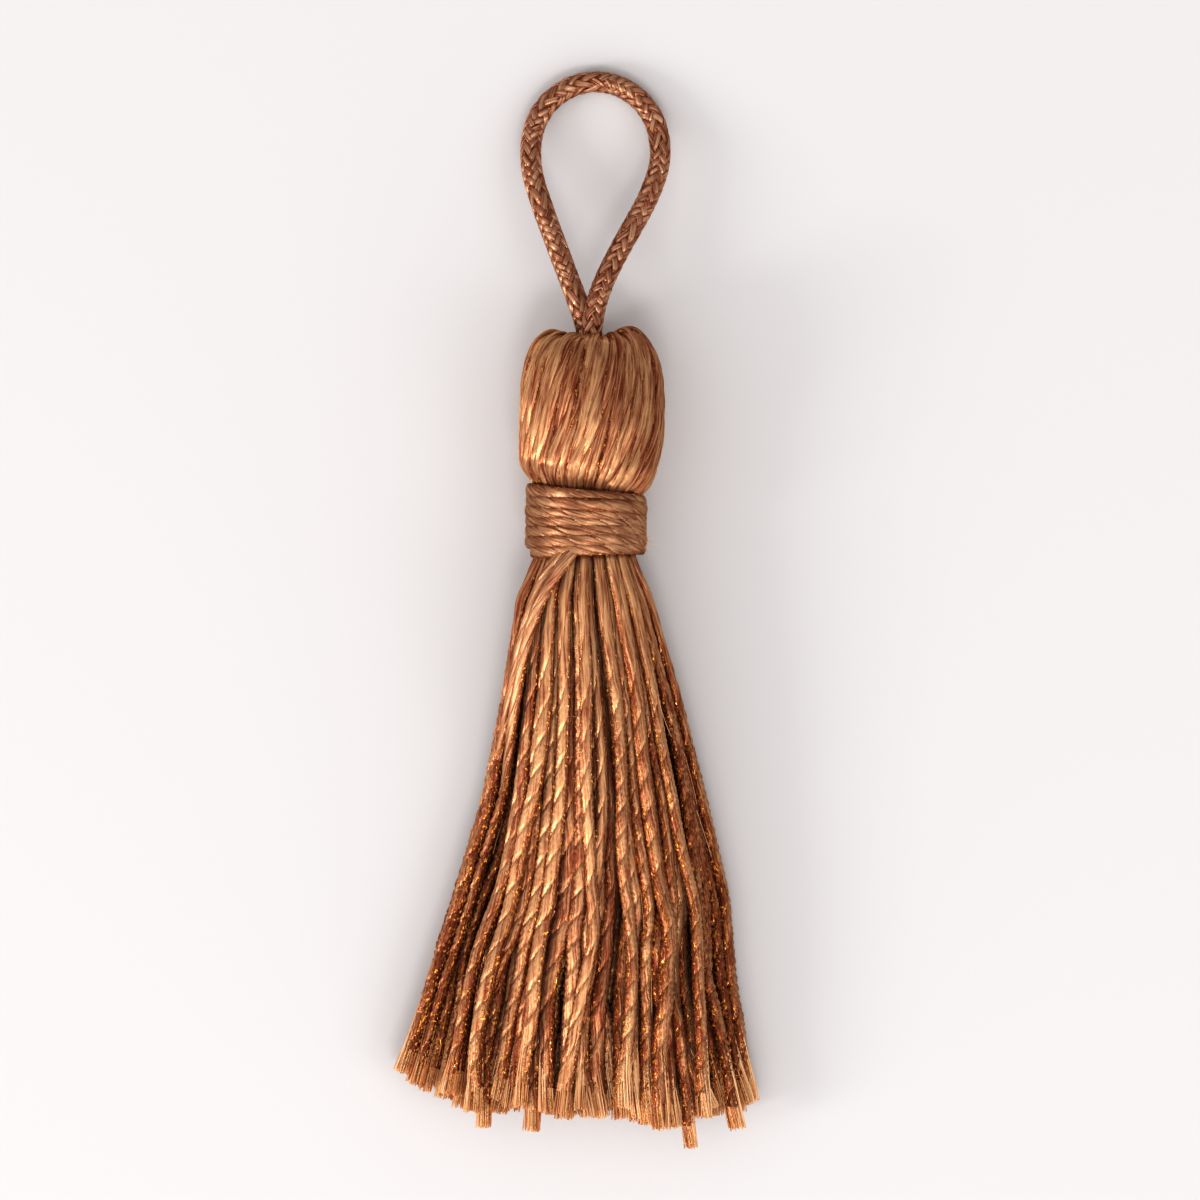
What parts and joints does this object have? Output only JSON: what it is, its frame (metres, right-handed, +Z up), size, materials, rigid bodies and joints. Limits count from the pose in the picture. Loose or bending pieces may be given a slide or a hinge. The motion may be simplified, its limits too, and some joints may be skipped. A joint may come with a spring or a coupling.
{
  "type": "tassel with hanging loop",
  "caption": "Satin yarn tassel with a folded head, a wound neck binding, a skirt of twisted yarns and a braided hanging loop, lying on its back; it trims keys, cushions, blinds and bookmarks.",
  "frame": {"origin": "on the surface that the tassel lies on, under the middle of the head and skirt, without the hanging loop", "axes": "+Y runs along the tassel from its cut ends to its loop, +Z is up from the surface, and +X is to the right with the loop at the top"},
  "size_m": [0.0321, 0.1003, 0.0129],
  "materials": {
    "yarn": "bronze-brown twisted rayon, with a satin sheen",
    "binding_yarn": "the same twisted rayon yarn, wound tight",
    "braided_cord": "bronze-brown rayon, in a round braid"
  },
  "bodies": {
    "root": {"yarn_bundle": "yarn", "neck_binding": "binding_yarn", "hanging_loop": "braided_cord"}
  },
  "joints": []
}
